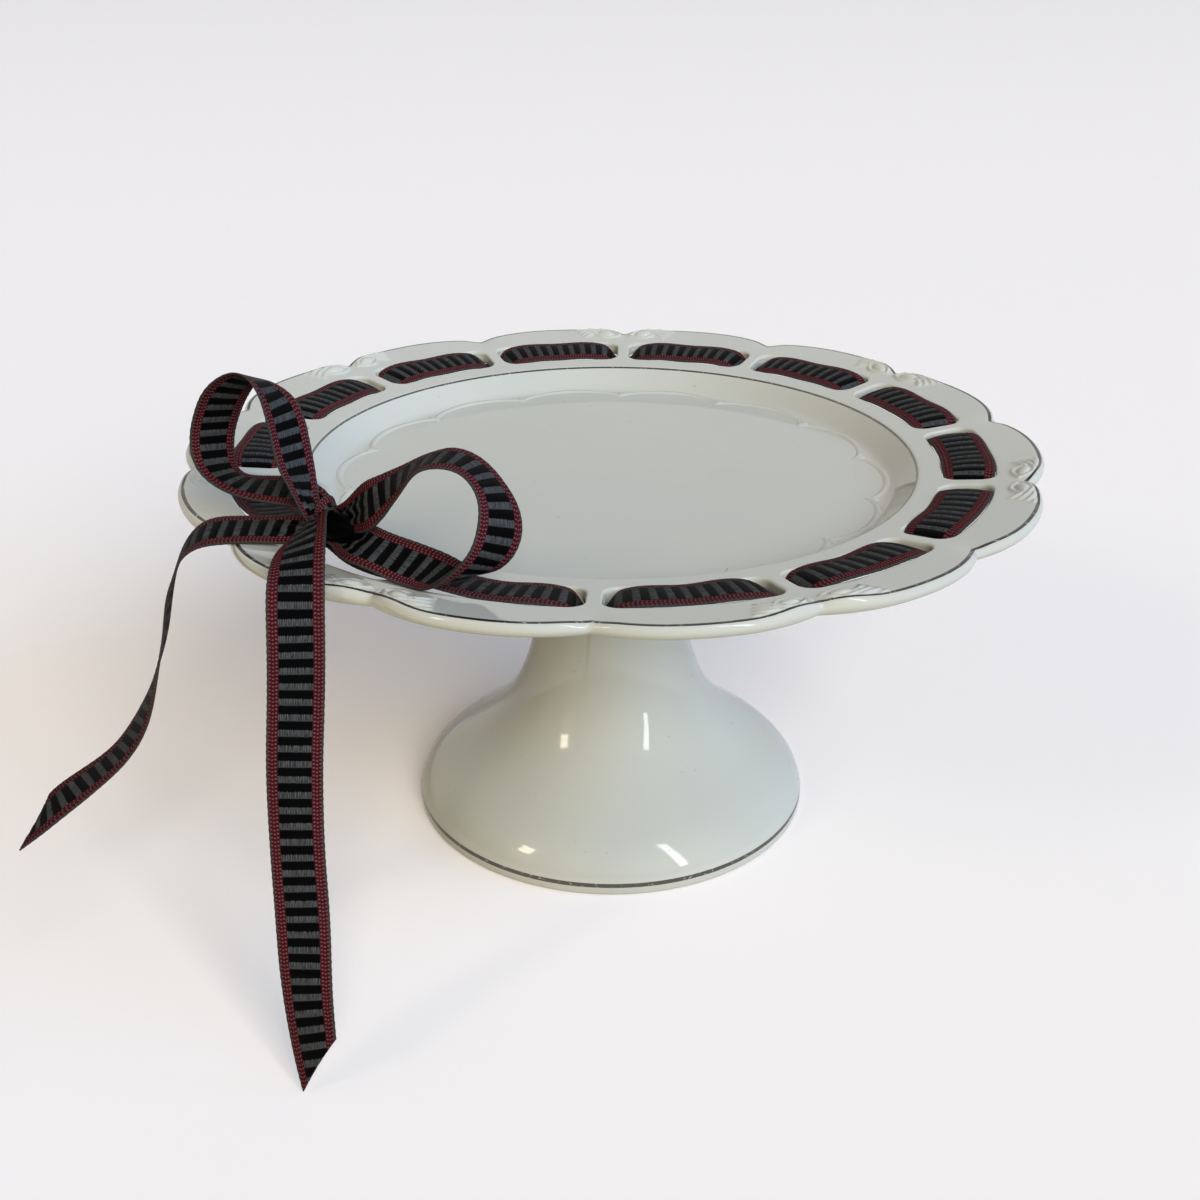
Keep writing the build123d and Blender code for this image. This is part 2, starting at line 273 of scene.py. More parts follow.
def rectangleLoop(halfX, halfY, corner):
    # a rounded rectangle walked from its lower left corner: each side from the middle of one corner's arc to the
    # middle of the next, in even steps of length
    def side(length, count):
        quarter = corner * math.pi / 4
        straight = length - 2 * corner
        s = np.linspace(0, 2 * quarter + straight, count, endpoint=False)
        first, last = s < quarter, s > quarter + straight
        turnIn = math.pi / 4 - s / max(corner, 1e-9)
        turnOut = (s - quarter - straight) / max(corner, 1e-9)
        x = np.where(first, -corner * np.sin(turnIn), s - quarter)
        x = np.where(last, straight + corner * np.sin(turnOut), x)
        y = np.where(first, corner * (1 - np.cos(turnIn)), 0)
        y = np.where(last, corner * (1 - np.cos(turnOut)), y)
        return x - straight / 2, y

    longX, longY = side(2 * halfX, lobeGrid["longSide"])
    shortX, shortY = side(2 * halfY, lobeGrid["shortSide"])
    return np.concatenate([
        np.stack([longX, longY - halfY], 1),
        np.stack([halfX - shortY, shortX], 1),
        np.stack([-longX, halfY - longY], 1),
        np.stack([shortY - halfX, -shortX], 1),
    ])


def slotRing(offset):
    # the slot's outline moved outward by offset, as an angle and a radius: the distance along the rim becomes an
    # angle whose ends stay parallel to the bridge
    s = plateShape
    halfX = slotMid * math.sin(halfLobe) - s["bridgeWidth"] / 2
    loop = rectangleLoop(halfX + offset, s["slotWidth"] / 2 + offset, s["slotCorner"] + offset)
    r = slotMid + loop[:, 1]
    end = halfLobe - np.arcsin((s["bridgeWidth"] / 2 - offset) / r)
    return np.stack([loop[:, 0] / (halfX + offset) * end, r], 1)


def lipStart(angle):
    # where the rounding of the lip begins, measured square to the edge
    turn = (edgeRadius(angle + 1e-4) - edgeRadius(angle - 1e-4)) / 2e-4 / edgeRadius(angle)
    return edgeRadius(angle) - plateShape["lipRound"] * np.sqrt(1 + turn**2)


def sectorRing():
    # the border of one lobe's sector, walked as the slot's outline is: inner arc, notch line, lip, notch line
    n, m = lobeGrid["longSide"], lobeGrid["shortSide"]
    u = np.linspace(-1, 1, n, endpoint=False)
    low, high = plateShape["jointRadius"], lipStart(np.array([1e-9]))[0]
    ease = np.linspace(0, 1, m, endpoint=False)
    lip = np.linspace(1, -1, n, endpoint=False)
    return np.concatenate([
        np.stack([u * halfLobe, np.full(n, low)], 1),
        np.stack([np.full(m, halfLobe), low + (high - low) * ease], 1),
        np.stack([lip * halfLobe, lipStart(lip * halfLobe + halfLobe)], 1),
        np.stack([np.full(m, -halfLobe), high + (low - high) * ease], 1),
    ])


def plateMesh():
    # one lobe as rings between its slot and its border, an edge strip round the lip and a strip of the well,
    # each a grid of angle and path; the fourteen copies are turned into place and welded
    s = plateShape
    lobes, thick, lip, underLip = s["lobes"], s["rimThickness"], s["slotLip"], s["slotUnderLip"]
    border, start, inner = sectorRing(), slotRing(lip), slotRing(underLip)
    rings = []                # ring, whether it lies on top, and its lift
    for t in np.linspace(1, 0, lobeGrid["topRings"]) ** lobeGrid["ringCrowding"]:
        rings.append((start * (1 - t) + border * t, True, 0.0))
    for turn in np.linspace(0, math.pi / 2, lobeGrid["roundRings"])[1:]:
        rings.append((slotRing(lip * (1 - math.sin(turn))), True, -lip * (1 - math.cos(turn))))
    for share in lobeGrid["wallShares"]:
        rings.append((slotRing(0), False, underLip + (1 - share) * (thick - lip - underLip)))
    for turn in np.linspace(math.pi / 2, 0, lobeGrid["underRoundRings"])[1:]:
        rings.append((slotRing(underLip * (1 - math.sin(turn))), False, underLip * (1 - math.cos(turn))))
    for t in np.linspace(0, 1, lobeGrid["underRings"])[1:]:
        rings.append((inner * (1 - t) + border * t, False, 0.0))

    ringGrid, isTop, lifts = (np.array(column) for column in zip(*rings))
    isTop, lifts = isTop[None, :, None], lifts[None, :, None]
    middles = (math.pi / 2 - halfLobe - np.arange(lobes) * lobeAngle)[:, None, None]
    angle, r = middles + ringGrid[None, :, :, 0], ringGrid[None, :, :, 1]
    rimPoints = turned(r, angle, np.where(isTop, rimHeight(r, angle), coneHeight(r) - thick) + lifts)

    across = np.linspace(-1, 1, lobeGrid["longSide"] + 1) * halfLobe
    acrossAngle = middles + across[None, None, :]
    turn = np.linspace(0, math.pi, lobeGrid["lipSteps"])[None, :, None]
    inside, edge = lipStart(across + halfLobe)[None, None, :], edgeRadius(across + halfLobe)[None, None, :]
    lipR = inside + (edge - inside) * np.sin(turn)
    high, low = rimHeight(inside, acrossAngle), coneHeight(inside) - thick
    lipZ = (high + low) / 2 + (high - low) / 2 * np.cos(turn) + rimSlope * (lipR - inside)
    lipPoints = turned(lipR, acrossAngle, lipZ)

    well = wellPath()[None, :, None]
    wellPoints = turned(well[..., 0], acrossAngle, well[..., 1])

    fromLip = (ringGrid[..., 1] - lipStart(ringGrid[..., 0] + halfLobe)) / (4 * s["lipRound"])
    strips = (
        (rimPoints, np.where(isTop[0], fromLip, 1.0), True),
        (lipPoints, np.broadcast_to(turn[0] / math.pi, lipPoints.shape[1:3]), False),
        (wellPoints, np.full(wellPoints.shape[1:3], -1.0), False),
    )
    blocks = [(grid[k], gridFaces(*way.shape, wrapCols=ring)) for k in range(lobes) for grid, way, ring in strips]
    return *joined(blocks), np.concatenate([way.ravel() for grid, way, ring in strips] * lobes)


def wellPath():
    # section of the well from the rim, down its wall, over the floor to the axis and back underneath
    s = plateShape
    joint = s["jointRadius"]
    jointTop = coneHeight(joint)
    foot = s["wellRadius"] - s["wellLean"]
    upper = roundedPath(
        [(joint, jointTop), (s["wellRadius"], wellEdgeHeight), (foot, floorHeight), (0, floorHeight)],
        [s["wellEdgeRound"], s["wellFootRound"]],
    )
    lower = roundedPath(
        [
            (0, underHeight),
            (foot + s["floorThickness"] / 2, underHeight),
            (s["wellRadius"] + s["rimThickness"] / 2, wellEdgeHeight - s["rimThickness"]),
            (joint, jointTop - s["rimThickness"]),
        ],
        [s["wellFootRound"], s["underEdgeRound"]],
    )
    return np.concatenate([spacedAlong(upper, s["floorGap"]), spacedAlong(lower, s["underGap"])])


def wellHeight(r):
    # height of the well's upper surface at a radius, read off its section
    path = wellPath()
    upper = path[: int(np.argmin(path[:, 0])) + 1][::-1]
    return np.interp(r, upper[:, 0], upper[:, 1])


platePoints, plateFaces, plateWay = plateMesh()
plate = meshPiece("plateBody", platePoints, plateFaces, lipWay=plateWay, weld=2e-6)
print("plate:", len(plate.data.polygons), "faces")

shellShape = {
    "reach": 0.0255,          # along the edge from the notch
    "innerOut": -0.0105,      # from the notch circle inward
    "grid": (74, 47),
    "eye": (0.0082, -0.0030),
    "eyeTilt": 0.22,
    "pearl": (0.0036, 0.0019, 0.0012),
    "ring": (0.0061, 0.0037, 0.00070),
    "ringWidth": 0.00062,
    "strokes": 4,
    "root": ((0.0100, -0.0020), (0.0006, 0.0016)),     # of the first stroke, and the step to the next
    "tip": ((0.0176, -0.0072), (0.0014, 0.0025)),
    "strokeBow": 0.0010,
    "strokeHeight": 0.0009,
    "strokeWidth": 0.00115,
    "border": 0.00003,        # how far a patch is let into the rim at its border
    "sunk": 0.0006,           # depth of the hidden underside
}


def shellRelief(side, out):
    # an eye-shaped ring round a domed pearl, its points drawn out, and a fan of tapering strokes beyond it
    s = shellShape
    side = np.abs(side)
    c, w = math.cos(s["eyeTilt"]), math.sin(s["eyeTilt"])
    fromEye, outOfEye = side - s["eye"][0], out - s["eye"][1]
    x, y = fromEye * c + outOfEye * w, outOfEye * c - fromEye * w
    a, b, h = s["pearl"]
    dome = np.sqrt(np.clip(1 - (x / a) ** 2 - (y / b) ** 2, 0, 1)) * h
    a, b, h = s["ring"]
    nearX = np.clip(np.abs(x) / a, 0, 1)
    gap = (np.abs(y) - b * (1 - nearX**1.7)) * np.sqrt(1 - 0.45 * nearX)
    gap = np.where(np.abs(x) > a, np.hypot(np.abs(x) - a, y), gap)
    relief = np.maximum(dome, np.exp(-((gap / s["ringWidth"]) ** 2)) * h)
    for i in range(s["strokes"]):
        root, tip = (np.array(s[key][0]) + i * np.array(s[key][1]) for key in ("root", "tip"))
        length = np.hypot(*(tip - root))
        way = (tip - root) / length
        t = ((side - root[0]) * way[0] + (out - root[1]) * way[1]) / length
        bow = s["strokeBow"] * (1 - (2 * t - 1) ** 2)
        off = (out - root[1]) * way[0] - (side - root[0]) * way[1] - bow
        taper = np.clip(1 - np.abs(2 * t - 1) ** 2.2, 0, 1) ** 0.8 * (t > 0) * (t < 1)
        wide = s["strokeWidth"] * (0.55 + 0.45 * np.clip(t, 0, 1))
        relief = np.maximum(relief, s["strokeHeight"] * taper * np.exp(-((off / wide) ** 2)))
    return relief


def shellPatches():
    # a fine grid over the rim on each side of every other notch: side distance by share of the way from inside the
    # rim to the start of the lip, raised by the relief and sunk a hair at its border
    s = shellShape
    sideLine, outLine = (np.linspace(0, 1, n) for n in s["grid"])
    sideLine, outLine = sideLine[:, None], outLine[None, :]
    fade = smoothStep(outLine, 0, 0.12) * smoothStep(1 - outLine, 0, 0.1) * smoothStep(1 - sideLine, 0, 0.1)
    fade = fade * smoothStep(sideLine, 0.0, 0.05)
    low = plateShape["notchRadius"] + s["innerOut"]
    blocks = []
    for k in range(0, plateShape["lobes"], 2):
        for way in (-1, 1):
            notch = math.pi / 2 - k * lobeAngle
            angle = notch + sideLine * s["reach"] / plateShape["notchRadius"] * way + 0 * outLine
            r = low + (lipStart(angle - notch) - low) * outLine
            side, out, _ = fromNotch(r, angle)
            raised = shellRelief(side, out) * fade - s["border"] * (1 - 2 * smoothStep(fade, 0, 0.3))
            blocks.append(slab(turned(r, angle, rimHeight(r, angle) + raised), s["sunk"]))
    return joined(blocks)


shells = meshPiece("rimShells", *shellPatches())
print("shells:", len(shells.data.polygons), "faces")

scallopShape = {
    "cuspRadius": 0.0905,
    "archRadius": 0.0972,
    "archPower": 2.1,         # of the distance from an arch's middle
    "archRoot": 0.62,         # of one less that
    "halfWidth": 0.0013,
    "height": 0.00050,
    "perLobe": 72,
    "across": 11,
    "leafOut": 0.0026,        # from a cusp to the middle of its leaf
    "leafLength": 0.0042,
    "leafWidth": 0.0013,
    "leafHeight": 0.0006,
    "leafGrid": (15, 9),
    "border": 0.00004,        # how far the relief is let into the floor at its border
    "sunk": 0.0006,
}


def scallopBead():
    # a bead along fourteen arches that meet in cusps: its path is the cusp radius plus the rise times a root of one
    # less a power of the distance from the arch's middle; its section is a rounded bump let into the floor
    s = scallopShape
    across = np.linspace(-1, 1, s["across"])
    angle = fullTurn(s["perLobe"] * plateShape["lobes"])
    fromMiddle = np.abs(((math.pi / 2 - angle) % lobeAngle) / halfLobe - 1)
    arch = (1 - fromMiddle ** s["archPower"]) ** s["archRoot"]
    centre = turned(s["cuspRadius"] + (s["archRadius"] - s["cuspRadius"]) * arch, angle, 0.0)[:, :2]
    ahead = unit(np.roll(centre, -1, 0) - np.roll(centre, 1, 0))
    normal = np.stack([ahead[:, 1], -ahead[:, 0]], 1)
    place = centre[:, None] + normal[:, None] * (across * s["halfWidth"])[None, :, None]
    bump = s["height"] * (1 - across**2) ** 1.5 - s["border"]
    height = wellHeight(np.hypot(place[..., 0], place[..., 1])) + bump[None]
    return np.concatenate([place, height[..., None]], -1)


def scallopLeaves():
    # a small pointed leaf outside each cusp: a dome over a lens shape
    s = scallopShape
    notch = (math.pi / 2 - np.arange(plateShape["lobes"]) * lobeAngle)[:, None, None]
    p, q = np.meshgrid(*(np.linspace(-1, 1, n) for n in s["leafGrid"]), indexing="ij")
    out = s["cuspRadius"] + s["leafOut"] + p * s["leafLength"] / 2
    side = q * s["leafWidth"] * (1 - p**2) ** 0.8
    dome = s["leafHeight"] * (1 - q**2) * (1 - p**2) ** 0.6 - s["border"]
    r = np.hypot(out, side)
    return turned(r, notch + np.arctan2(side, out), wellHeight(r) + dome)


bead = slab(scallopBead(), scallopShape["sunk"], ring=True)
leaves = [slab(leaf, scallopShape["sunk"]) for leaf in scallopLeaves()]
scallop = meshPiece("floorScallop", *joined([bead] + leaves))

pedestalShape = {
    "footRadius": 0.074,
    "bandHeight": 0.0043,
    "shoulder": (0.0582, 0.0223),
    "waist": (0.0377, 0.0425),
    "neck": (0.029, 0.066),
    "collarRadius": 0.035,
    "collarHeight": 0.0035,
    "footRun": (-0.2, 1),     # directions in which the outer line leaves the band and meets the collar
    "collarRun": (0.7, 1),
    "wall": 0.0045,
    "footRound": 0.0009,
    "rings": 110,
    "turns": 288,
}


def pedestalMesh():
    # the outer line is a spline from the foot to the collar, the inner line the same moved in by the wall, and the
    # section is carried round the axis
    s = pedestalShape
    wall, band = s["wall"], s["bandHeight"]
    outer, collar = s["footRadius"], s["collarRadius"]
    knots = [(outer, band), s["shoulder"], s["waist"], s["neck"], (collar, underHeight - s["collarHeight"])]
    line, length = splineThrough(knots, startDir=s["footRun"], endDir=s["collarRun"], measured=2)
    bell = line(np.linspace(0, length, s["rings"]))
    ahead = unit(np.gradient(bell, axis=0))
    inside = bell - np.stack([ahead[:, 1], -ahead[:, 0]], 1) * wall
    corners = [(outer - wall, band), (outer - wall, 0), (outer, 0), (outer, band)]
    foot = roundedPath(corners, [s["footRound"]] * 2, arcPoints=5)
    top = np.array([(collar, underHeight), (collar - wall, underHeight)])
    section = np.concatenate([foot[:-1], bell, top, inside[::-1][:-1]])
    angle = fullTurn(s["turns"])[:, None]
    return turned(section[None, :, 0], angle, section[None, :, 1])


pedestalPoints = pedestalMesh()
pedestalFaces = gridFaces(*pedestalPoints.shape[:2], wrapRows=True, wrapCols=True)
pedestal = meshPiece("pedestalBell", pedestalPoints, pedestalFaces)
print("pedestal:", len(pedestal.data.polygons), "faces")

clothShape = {
    "width": 0.016,
    "thickness": 0.00042,
    "repeat": 0.0047,         # one grey and one black cord
    "cordHeight": 0.00020,
    "cordFullness": 0.55,     # power of the sine over a cord: the smaller, the broader its back
    "cordShare": 0.30,        # half of the part of the width that the cords take up
    "cordFade": 0.012,
    "borderHeight": 0.00009,
    "edgeWave": 0.00011,
    "gap": 0.00046,           # between rows of points along the ribbon
    "columns": 25,
    "columnTurn": 0.86,       # share of a quarter turn whose sine spaces the columns, closer towards the edges
    "pleatDepth": 0.147,      # how much of the lost width turns into depth where it is gathered
    "cutReach": 0.03,         # length over which a slanted end is sheared
    "fineSteps": 4000,        # along the middle line, to measure it
}


def ribbonGrid(stations, slant=0.0, crown=0.0, phase=0.0, wander=0.0, seed=0, gap=clothShape["gap"], pleats=3.0):
    # the middle line is a spline through the stations; a point lies its share of the width along the across
    # direction, raised along the normal by the crown, the cords, the pleats and a slow random wander
    s = clothShape
    table = np.array([np.concatenate([c, unit(np.array(a, float)), [w]]) for c, a, w in stations])
    line, length = splineThrough(table)
    fine = np.linspace(0, length, s["fineSteps"])
    run = np.concatenate([[0], np.cumsum(np.linalg.norm(np.diff(line(fine)[:, :3], axis=0), axis=1))])
    quarter = math.pi / 2 * s["columnTurn"]
    share = np.sin(np.linspace(-1, 1, s["columns"]) * quarter) / math.sin(quarter)
    cloth = np.linspace(0, run[-1], int(run[-1] / gap))[:, None] + 0 * share[None]
    cut = smoothStep(cloth, run[-1] - s["cutReach"], run[-1]) * math.tan(slant) * s["width"] / 2
    cloth = cloth + cut * share[None]
    at = np.interp(cloth, run, fine) + np.maximum(cloth - run[-1], 0)
    spot = line(at)
    ahead = unit(line(at + 2e-4)[..., :3] - line(at - 2e-4)[..., :3])
    across = unit(spot[..., 3:6] - ahead * np.sum(spot[..., 3:6] * ahead, -1, keepdims=True))
    normal = np.cross(ahead, across)
    turn = 2 * math.pi * (cloth - phase) / s["repeat"]
    width = spot[..., 6] + s["edgeWave"] * np.cos(4 * math.pi * cloth / s["repeat"]) * np.abs(share) ** 6
    lost = np.clip(s["width"] - spot[..., 6], 0, None)
    waves = np.random.default_rng(seed).uniform(-1, 1, (4, 3))      # four waves: height, start and slant
    drift = sum(h * np.sin(cloth * (60 + 45 * i) + 6 * b + 2.2 * d * share) for i, (h, b, d) in enumerate(waves))
    fold = np.cos(share * math.pi * pleats + 3 * waves[0, 1] + cloth * 40 * waves[1, 1])
    lift = wander * drift / 2 + (crown + lost * s["pleatDepth"] * fold) * (1 - share**2)
    cord = np.abs(np.sin(turn)) ** s["cordFullness"]
    inCords = 1 - smoothStep(np.abs(share) / 2, s["cordShare"] - s["cordFade"], s["cordShare"] + s["cordFade"])
    dotted = s["borderHeight"] * (1 + np.cos(4 * turn)) * (1 - share**8)
    half = s["thickness"] / 2 + s["cordHeight"] * cord * inCords + dotted * (1 - inCords)
    centre = spot[..., :3] + across * (share * width / 2)[..., None] + normal * lift[..., None]
    away = normal * half[..., None]
    uv = np.stack([share / 2 + 0.5 + 0 * cloth, turn / (2 * math.pi)], -1)
    skin = np.concatenate([centre + away, (centre - away)[:, ::-1]], 1)
    return skin, np.concatenate([uv, uv[:, ::-1]], 1), run[-1]


ribbonLengths = {}


def ribbonPiece(name, runs):
    # one mesh of one or more stretches of ribbon, whose lengths along the middle line are added up
    skins = [(skin, skinFaces(*skin.shape[:2])) for skin, uv, run in runs]
    uvs = np.concatenate([uv.reshape(-1, 2) for skin, uv, run in runs])
    piece = meshPiece(name, *joined(skins), uv=uvs)
    ribbonLengths[name] = sum(run for skin, uv, run in runs)
    print(name + ":", len(piece.data.polygons), "faces,", round(ribbonLengths[name] / mm), "mm long")
    return piece


weaveShape = {
    "bridgeClear": 0.0033,    # bridge's middle to its side, with room
    "under": -0.0051,         # middle of the ribbon below the rim's surface at a bridge
    "over": 0.0006,
    "level": -0.0003,         # edges of the ribbon against the rim's surface in the middle of a slot
    "gathered": 0.0135,
    "spread": 0.0177,         # the ribbon pressed flat between the sides of a slot
    "climb": ((0.0016, 0.66, 0.0152), (0.0036, 0.26, 0.0168)),    # way from the bridge, share of under, width
    "climbed": 0.0068,
    "crown": 0.0007,
    "endCrown": 0.00042,
    "wander": 0.00018,
    "shift": 0.0011,          # step by which the cords of one slot are offset from the next
    "lastBridge": 10,
    "firstBridge": 7,
}
rimTilt = math.atan(rimSlope)


def polar(r, angle, z=0.0):
    # a point from its radius, its angle in degrees and its height
    return np.array([r * math.cos(math.radians(angle)), r * math.sin(math.radians(angle)), z])


def slotStation(angle, lift, width=weaveShape["spread"], past=0.0):
    # a station over the middle of the slots, lifted from the rim and so far past the angle
    angle = angle + past * math.degrees(1 / slotMid)
    across = polar(math.cos(rimTilt), angle, math.sin(rimTilt))
    return polar(slotMid, angle, coneHeight(slotMid) + lift), across, width


def climb(bridge, way):
    # from under a bridge up into the slot beside it
    s = weaveShape
    steps = [(-s["bridgeClear"], s["under"], s["gathered"]), (0.0, s["under"] + 0.1 * mm, s["gathered"])]
    steps += [(along, share * s["under"], width) for along, share, width in s["climb"]]
    steps += [(s["climbed"], s["level"], s["spread"])]
    return [slotStation(bridge, lift, width, way * (s["bridgeClear"] + along)) for along, lift, width in steps]


knotShape = {
    "radius": 0.12085,
    "angle": 90 - 8.63 * math.degrees(lobeAngle),
    "wrapTurns": (-0.35, 2 * math.pi + 0.35),
    "wrapSteps": 15,
    "wrapGrowth": 0.05,
    "coreGrid": (84, 56),
    # from here on in millimetres, along the slots, outward and above the lip
    "wrapUp": 4.6,
    "wrapHalf": (5.6, 4.4),
    "wrapLean": 2.2,
    "wrapWidth": 11.5,
    "coreMiddle": (7.4, 2.6, 3.2),
    "coreHalf": (12.2, 5.9, 5.5),
    "coreRise": 0.22,         # per millimetre along
}


def atKnot(along, out, up):
    # a point from its offsets from the knot in millimetres: along the slots, outward and above the lip
    here = polar(knotShape["radius"], knotShape["angle"], plateShape["lipHeight"] + up * mm)
    return here + polar(out * mm, knotShape["angle"]) + polar(along * mm, knotShape["angle"] + 90)


def acrossKnot(along, out, up):
    # a direction in the knot's own axes
    return polar(out, knotShape["angle"]) + polar(along, knotShape["angle"] + 90) + np.array([0, 0, up])


def tied(rows, lift=0.0):
    # stations from rows of middle, direction across and width, all in the knot's axes and millimetres; a row
    # without a width has the ribbon's own
    return [(atKnot(along, out, up + lift), acrossKnot(*row[:3]), row[3] * mm if row[3:] else clothShape["width"])
            for along, out, up, *row in rows]


def weaveRuns():
    # every cell from under one bridge to under the next, and the two ends that run back to the knot
    s, full = weaveShape, clothShape["width"]
    lobe = math.degrees(lobeAngle)
    lift = (s["over"] - rimSlope * (crownRadius - slotMid)) / mm
    left, right = 90 - s["lastBridge"] * lobe, 90 - s["firstBridge"] * lobe
    leftEnd = climb(left, 1) + [
        slotStation(left + lobe * 0.6, s["level"]),
        slotStation(left + lobe, s["over"] + 0.5 * mm, full, -5 * mm),
        slotStation(left + lobe, s["over"] + 0.5 * mm, 13 * mm, 5 * mm),
    ] + tied([(-9, 1.5, 0.7, 0, 1, 0.05, 11), (-3, 0.5, 1.2, 0, 1, 0, 9)], lift)
    rightEnd = climb(right, -1) + [
        slotStation(right - lobe / 2, s["level"]),
        slotStation(right - lobe, s["over"] + 0.4 * mm, full, 7 * mm),
        slotStation(right - lobe, s["over"] + 0.1 * mm, full, -1 * mm),
    ] + tied([(14, 1, 0.5, 0, 1, 0.08, 13), (9, 0.8, 0.8, 0, 1, 0.05, 11), (3, 0.5, 1.2, 0, 1, 0, 9)], lift)
    runs = [ribbonGrid(end, crown=s["endCrown"], seed=seed) for end, seed in ((leftEnd, 50), (rightEnd, 51))]
    for i, k in enumerate(range(s["lastBridge"], s["firstBridge"] + plateShape["lobes"])):
        start = 90 - k * lobe
        middle = slotStation(start - lobe / 2, s["level"] + 0.2 * mm)
        stations = climb(start, -1) + [middle] + climb(start - lobe, 1)[::-1]
        phase = s["shift"] * (i * 7 % 4)
        runs.append(ribbonGrid(stations, crown=s["crown"], phase=phase, wander=s["wander"], seed=i))
    return runs


weave = ribbonPiece("ribbonWeave", weaveRuns())

bowShape = {
    "tailSlant": 40,          # degrees, the cut at a tail's end
    "loopCrown": 0.0003,
    "tailCrown": 0.0002,
    "wander": 0.00025,
    "gap": 0.0004,
    "wrapFolds": (0.0012, 0.0003, 2.5),    # crown, wander and pleats
}

leftLoopRows = [
    (-3, 2.5, 4, -0.3, -0.9, -0.1, 9), (-8.5, 2, 8.5, -0.4, -0.9, -0.2, 12), (-13, 1, 14, -0.35, -0.9, -0.2),
    (-17, 0.5, 24, -0.25, -1, -0.05), (-19.5, 0.5, 32.5, -0.3, -0.95, 0), (-24, 2, 40.3, -0.4, -0.9, -0.32),
    (-30, 4.5, 43.8, -0.4, -0.85, -0.42), (-36.5, 8, 39.4, -0.1, -0.95, -0.36), (-41.5, 10, 31, 0, -1, -0.25),
    (-43.7, 11.5, 22, -0.05, -1, -0.2), (-40, 12.5, 13.8, -0.2, -0.95, -0.2), (-33, 10.5, 10.6, -0.4, -0.85, -0.03),
    (-24, 4, 9.2, -0.45, -0.9, 0.15), (-15.5, -2.5, 7.3, -0.4, -0.9, 0.15, 14), (-9, -3.5, 4.2, -0.2, -1, 0, 11),
    (-3, -3.5, 2, 0, -1, 0, 9),
]
rightLoopRows = [
    (7.2, 2.3, 8.2, -0.2, -0.3, 0.9, 7.5), (11, 2.6, 9.8, -0.3, -0.3, 0.9, 9),
    (20, 3.9, 14.8, -0.5, -0.35, 0.8, 13.5), (26.3, 4, 18.8, -0.67, -0.42, 0.61, 15.5),
    (30.5, 1.8, 22.7, -0.72, -0.57, 0.39), (34.1, -0.7, 26.4, -0.7, -0.69, 0.21),
    (37.4, -3.1, 29.9, -0.62, -0.78, 0.09), (40.7, -5.2, 32.4, -0.53, -0.84, 0.03),
    (44.3, -7.2, 33.8, -0.48, -0.88, 0.03), (51.8, -10.8, 32.8, -0.37, -0.92, -0.09),
    (58.6, -12.1, 28.3, -0.23, -0.94, -0.25), (63.2, -11.4, 23.4, -0.07, -0.95, -0.31),
    (65.7, -9.1, 17.2, 0.07, -0.93, -0.36), (64.7, -6.4, 11.1, 0.01, -0.89, -0.43),
    (60.6, -3.6, 6, -0.07, -0.94, -0.34), (55.6, -2.2, 2.8, -0.03, -0.98, -0.1), (50, -1.7, 1.5, -0.03, -0.98, 0.17),
    (44.5, -1.4, 1.4, -0.1, -0.94, 0.32), (37, 0.4, 2.2, -0.22, -0.9, 0.38), (29.5, 3.6, 4.2, -0.4, -0.86, 0.34),
    (22, 5.4, 5.2, -0.4, -0.87, 0.35, 15), (12, 3, 4.2, -0.2, -0.93, 0.3, 12), (7.3, 2.8, 4.1, -0.1, -0.95, 0.3, 11),
]
leftTailRows = [
    (-3, 3, 1.8, 0.3, 0.9, -0.15, 9), (-8, 6.8, 1.3, 0.6, 0.8, -0.3, 12.5), (-15.5, 13, 1.1, 0.7, 0.7, -0.16),
    (-23, 20.5, 0.9, 0.65, 0.75, -0.16), (-29.9, 26.9, -0.8, 0.68, 0.72, -0.18),
    (-33.9, 30.6, -5.2, 0.75, 0.66, -0.08), (-36.1, 32.9, -11.4, 0.8, 0.55, 0.16),
    (-36.6, 35.9, -18.6, 0.77, 0.53, 0.36), (-35.8, 39.4, -29, 0.76, 0.51, 0.4), (-34, 43.6, -37.8, 0.8, 0.44, 0.4),
    (-32.5, 47.9, -45.7, 0.86, 0.37, 0.36), (-31.5, 54.4, -55.4, 0.93, 0.25, 0.27),
    (-31.5, 63.1, -63.3, 0.96, 0.21, 0.18), (-33.2, 73.5, -68.9, 0.98, 0.2, 0.04),
    (-35.2, 83.6, -74.1, 0.94, 0.33, -0.07), (-38.4, 89, -79.4, 0.87, 0.5, -0.05),
]
frontTailRows = [
    (1, 2, 6, 0.6, -0.4, 0.6, 9), (5, 9.5, 8.6, 0.55, -0.45, 0.6, 12), (14, 20, 9, 0.55, -0.65, 0.45),
    (22.5, 28, 6.8, 0.6, -0.75, 0.22), (28.5, 33.5, 0.8, 0.6, -0.8, 0.02), (31.3, 36.5, -10.6, 0.56, -0.83, -0.06),
    (32, 39, -29.8, 0.58, -0.82, -0.08), (33, 42, -48.3, 0.64, -0.77, -0.02), (36.5, 46, -71, 0.72, -0.69, 0.12),
    (41.5, 50, -94.4, 0.71, -0.69, 0.2), (48, 54.9, -117.1, 0.76, -0.5, 0.28),
    (57.2, 59.8, -132.2, 0.85, -0.24, 0.26),
]


def bowPiece(name, rows, seed, slant=0, crown=bowShape["loopCrown"]):
    # one loop or tail along its rows
    stations, bow = tied(rows), bowShape
    run = ribbonGrid(stations, math.radians(slant), crown, wander=bow["wander"], seed=seed, gap=bow["gap"])
    return ribbonPiece(name, [run])


